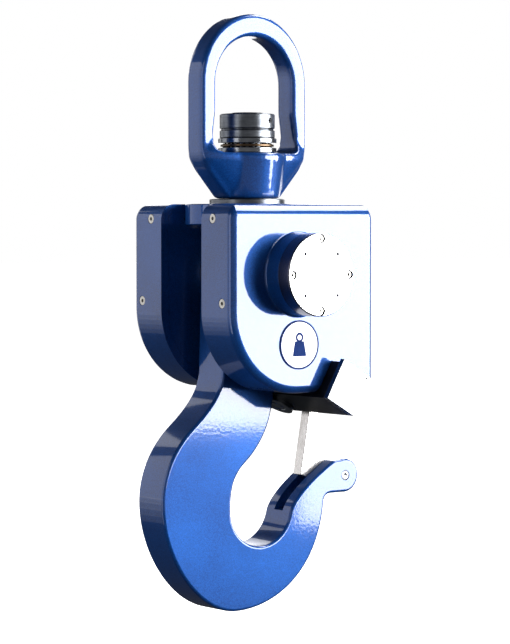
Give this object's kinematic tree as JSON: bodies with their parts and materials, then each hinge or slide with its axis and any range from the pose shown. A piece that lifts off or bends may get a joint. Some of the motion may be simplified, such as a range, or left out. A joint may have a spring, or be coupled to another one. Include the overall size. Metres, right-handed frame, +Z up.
{
  "type": "motorised swivel crane hook scale",
  "caption": "Swivel eye over a two-shell housing with a geared, motor-turned plate hook on a load-weighing axle, with a sprung tip latch.",
  "frame": {"origin": "the lowest point of the swivel eye's inner crown, where a crane hook bears, midway through its thickness", "axes": "+Z up along the swivel's axis, +X along the housing's broad faces towards the latch, +Y along the hook's axle away from the badge side"},
  "size_m": [0.3004, 0.2736, 0.6889],
  "materials": {
    "blue_paint": "glossy metallic blue enamel",
    "machined_steel": "fine turned and ground",
    "zinc_screw": "bright zinc",
    "dark_steel": "turned, phosphated",
    "black_oxide": "black oxide satin",
    "spring_steel": "drawn wire",
    "bronze": "bored bearing bronze",
    "black_plastic": "fine moulded texture",
    "circuit_board": "solder mask",
    "badge": "printed white label with a navy rim"
  },
  "bodies": {
    "eye": {"swivel_eye": "blue_paint", "eye_bush": "bronze", "bearing_lower_race": "machined_steel"},
    "housing": {"crosshead": "blue_paint", "cheek_plate_near": "blue_paint", "cheek_plate_far": "blue_paint", "housing_shell_near": "blue_paint", "housing_shell_far": "blue_paint", "spine_plate": "blue_paint", "axle_cap_near": "machined_steel", "axle_cap_far": "machined_steel", "block_end_plate_near": "machined_steel", "block_end_plate_far": "machined_steel", "load_axle": "machined_steel", "bearing_upper_race": "machined_steel", "cap_screw_near_1": "zinc_screw", "cap_screw_near_2": "zinc_screw", "cap_screw_near_3": "zinc_screw", "cap_screw_near_4": "zinc_screw", "cap_screw_far_1": "zinc_screw", "cap_screw_far_2": "zinc_screw", "cap_screw_far_3": "zinc_screw", "cap_screw_far_4": "zinc_screw", "side_screw_near_1": "zinc_screw", "side_screw_near_2": "zinc_screw", "side_screw_near_3": "zinc_screw", "side_screw_near_4": "zinc_screw", "side_screw_far_1": "zinc_screw", "side_screw_far_2": "zinc_screw", "side_screw_far_3": "zinc_screw", "side_screw_far_4": "zinc_screw", "swivel_nut": "dark_steel", "swivel_shank": "dark_steel", "swivel_collar": "dark_steel", "magnet": "dark_steel", "gearbox": "dark_steel", "nut_lock_screw": "black_oxide", "magnet_block": "black_oxide", "motor": "black_oxide", "crosshead_bolt_near_1": "black_oxide", "crosshead_bolt_near_2": "black_oxide", "crosshead_bolt_far_1": "black_oxide", "crosshead_bolt_far_2": "black_oxide", "bearing_cage": "bronze", "battery_pack": "black_plastic", "charge_socket": "black_plastic", "control_board": "circuit_board", "badge_plate": "badge"},
    "hook": {"hook": "blue_paint", "hub_bush": "bronze", "hook_gear": "dark_steel", "hub_spacer": "machined_steel", "latch_pin": "machined_steel", "latch_spring": "spring_steel", "gear_screw_1": "black_oxide", "gear_screw_2": "black_oxide", "gear_screw_3": "black_oxide"},
    "latch": {"latch": "machined_steel"},
    "drive_pinion": {"drive_pinion": "machined_steel"},
    "power_button": {"power_button": "black_plastic"}
  },
  "joints": [
    {"name": "eye_swivel", "type": "hinge", "parent": "eye", "child": "housing", "pos_m": [0, 0, -0.16], "axis": [0, 0, 1], "continuous": true},
    {"name": "hook_turn", "type": "hinge", "parent": "housing", "child": "hook", "pos_m": [0, 0, -0.2734], "axis": [0, 1, 0], "range_deg": [0, 80]},
    {"name": "pinion_spin", "type": "hinge", "parent": "housing", "child": "drive_pinion", "pos_m": [0.06, 0, -0.2734], "axis": [0, 1, 0], "range_deg": [-320, 0]},
    {"name": "latch_swing", "type": "hinge", "parent": "hook", "child": "latch", "pos_m": [0.1287, 0, -0.515], "axis": [0, 1, 0], "range_deg": [-35, 0], "stiffness_Nm_per_rad": 0.4, "springref_deg": 68.75},
    {"name": "button_press", "type": "slide", "parent": "housing", "child": "power_button", "axis": [-1, 0, 0], "range_m": [0, 0.002], "stiffness_N_per_m": 500, "springref_m": -0.001}
  ],
  "couplings": [
    {"joint": "pinion_spin", "follows": "hook_turn", "ratio": -4}
  ]
}
